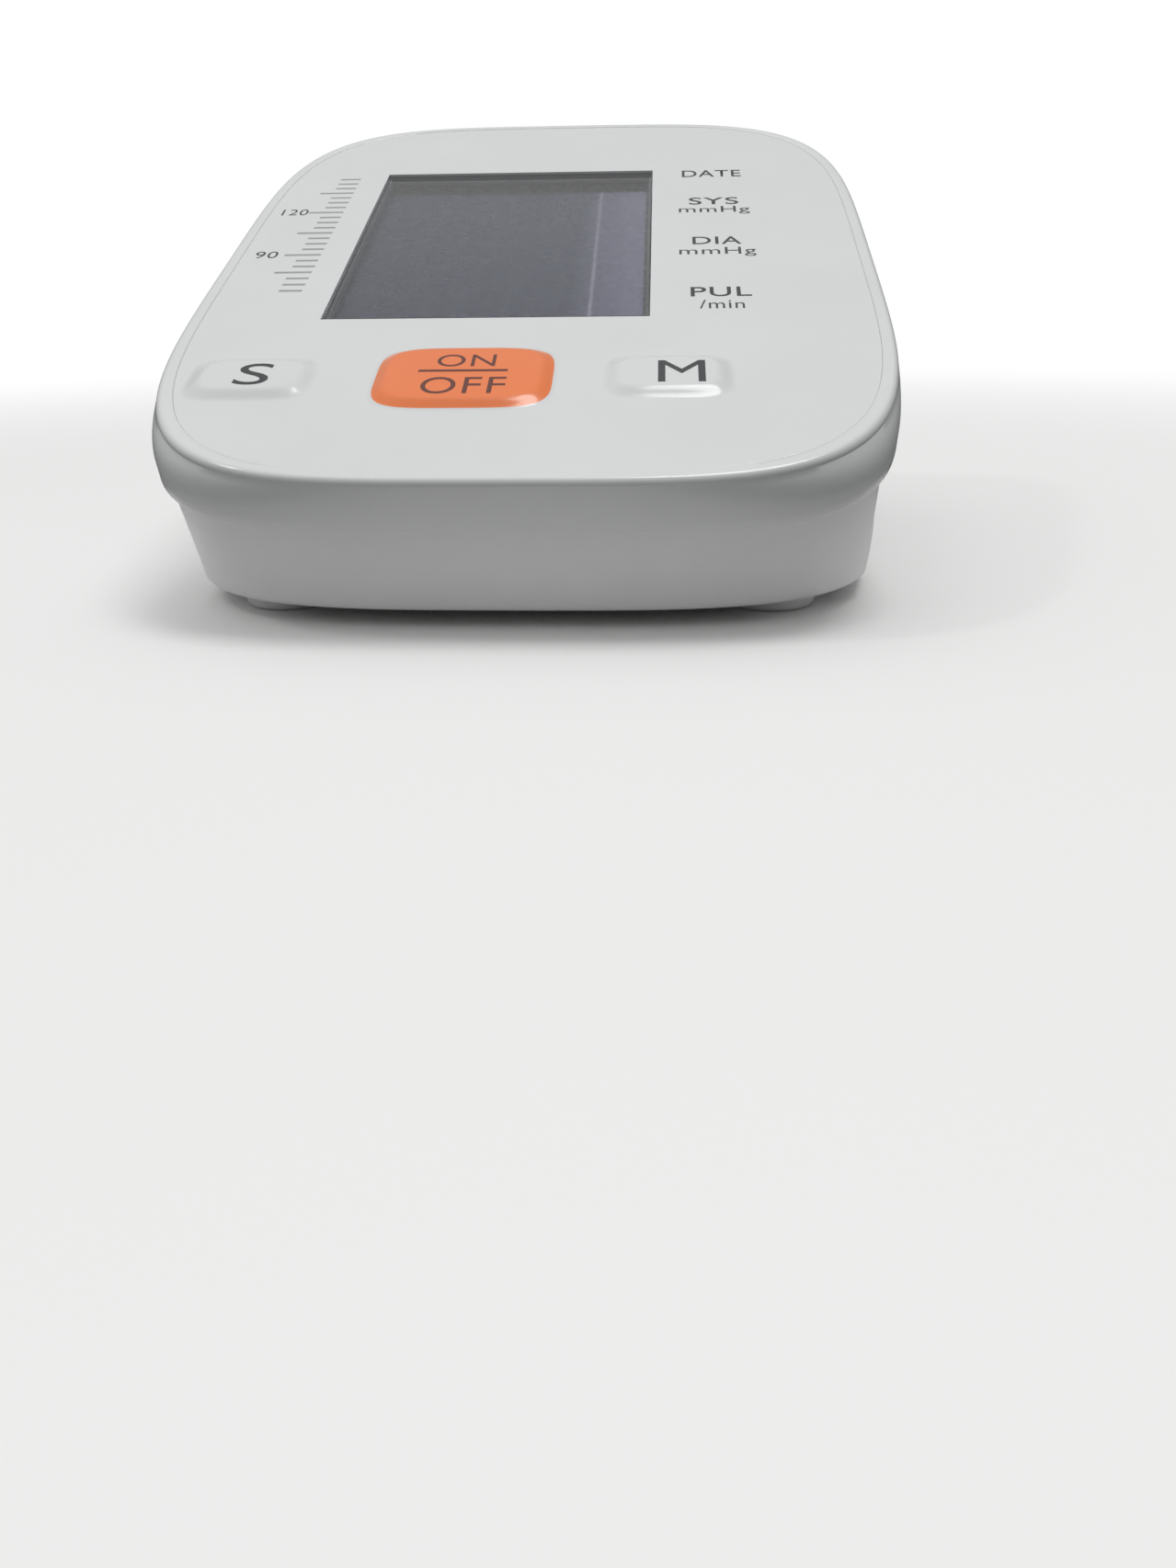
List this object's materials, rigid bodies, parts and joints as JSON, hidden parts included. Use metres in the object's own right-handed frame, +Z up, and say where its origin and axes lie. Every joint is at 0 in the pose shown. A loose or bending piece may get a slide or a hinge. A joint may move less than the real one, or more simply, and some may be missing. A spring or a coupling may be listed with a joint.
{
  "type": "arm blood pressure monitor",
  "caption": "Desktop arm blood pressure monitor: wedge-shaped white housing, sloping face with a display window and pads, battery door underneath, side sockets.",
  "frame": {"origin": "middle of the footprint, on the surface the monitor stands on", "axes": "+Z up, -Y towards the user at the low end of the sloping face, +X to the user's right"},
  "size_m": [0.1, 0.1264, 0.0694],
  "materials": {
    "white_gloss": "gloss",
    "white_shell": "satin",
    "orange_gloss": "gloss",
    "clear_window": "clear",
    "display_cell": "dark polarised",
    "light_guide": "satin",
    "board_green": "solder mask",
    "dark_plastic": "matte",
    "bare_steel": "plated",
    "tube_silicone": "matte",
    "manifold_plastic": "matte",
    "cell_jacket": "printed film"
  },
  "bodies": {
    "housing": {"top_cover": "white_gloss", "face_panel": "white_gloss", "display_window": "clear_window", "display_glass": "display_cell", "backlight": "light_guide", "pad_switches": "bare_steel", "circuit_board": "board_green", "controller_chip": "dark_plastic", "buzzer": "dark_plastic", "pressure_sensor": "dark_plastic", "board_screws": "bare_steel", "lower_case": "white_shell", "case_screws": "bare_steel", "battery_cell_1": "cell_jacket", "battery_cell_2": "cell_jacket", "battery_cell_3": "cell_jacket", "battery_cell_4": "cell_jacket", "contact_plates": "bare_steel", "contact_springs": "bare_steel", "pump_motor": "bare_steel", "pump_head": "dark_plastic", "pump_strap": "bare_steel", "strap_screws": "bare_steel", "release_valve": "bare_steel", "air_manifold": "manifold_plastic", "pump_tube": "tube_silicone", "socket_tube": "tube_silicone", "valve_tube": "tube_silicone", "sensor_tube": "tube_silicone", "air_socket": "white_shell", "power_socket": "dark_plastic"},
    "pad_s": {"pad_s": "white_gloss", "plunger_s": "dark_plastic"},
    "pad_power": {"pad_power": "orange_gloss", "plunger_power": "dark_plastic"},
    "pad_m": {"pad_m": "white_gloss", "plunger_m": "dark_plastic"},
    "battery_door": {"battery_door": "white_shell"},
    "pump_eccentric": {"pump_eccentric": "dark_plastic"}
  },
  "joints": [
    {"name": "pad_s_press", "type": "slide", "parent": "housing", "child": "pad_s", "axis": [0, 0.3746, -0.9272], "range_m": [0, 0.0006], "stiffness_N_per_m": 3000, "springref_m": -0.0003},
    {"name": "pad_power_press", "type": "slide", "parent": "housing", "child": "pad_power", "axis": [0, 0.3746, -0.9272], "range_m": [0, 0.0006], "stiffness_N_per_m": 3000, "springref_m": -0.0003},
    {"name": "pad_m_press", "type": "slide", "parent": "housing", "child": "pad_m", "axis": [0, 0.3746, -0.9272], "range_m": [0, 0.0006], "stiffness_N_per_m": 3000, "springref_m": -0.0003},
    {"name": "battery_door_slide", "type": "slide", "parent": "housing", "child": "battery_door", "axis": [0, 1, 0], "range_m": [0, 0.008]},
    {"name": "pump_turn", "type": "hinge", "parent": "housing", "child": "pump_eccentric", "pos_m": [-0.005, 0.037, 0.0332], "axis": [1, 0, 0], "continuous": true}
  ]
}
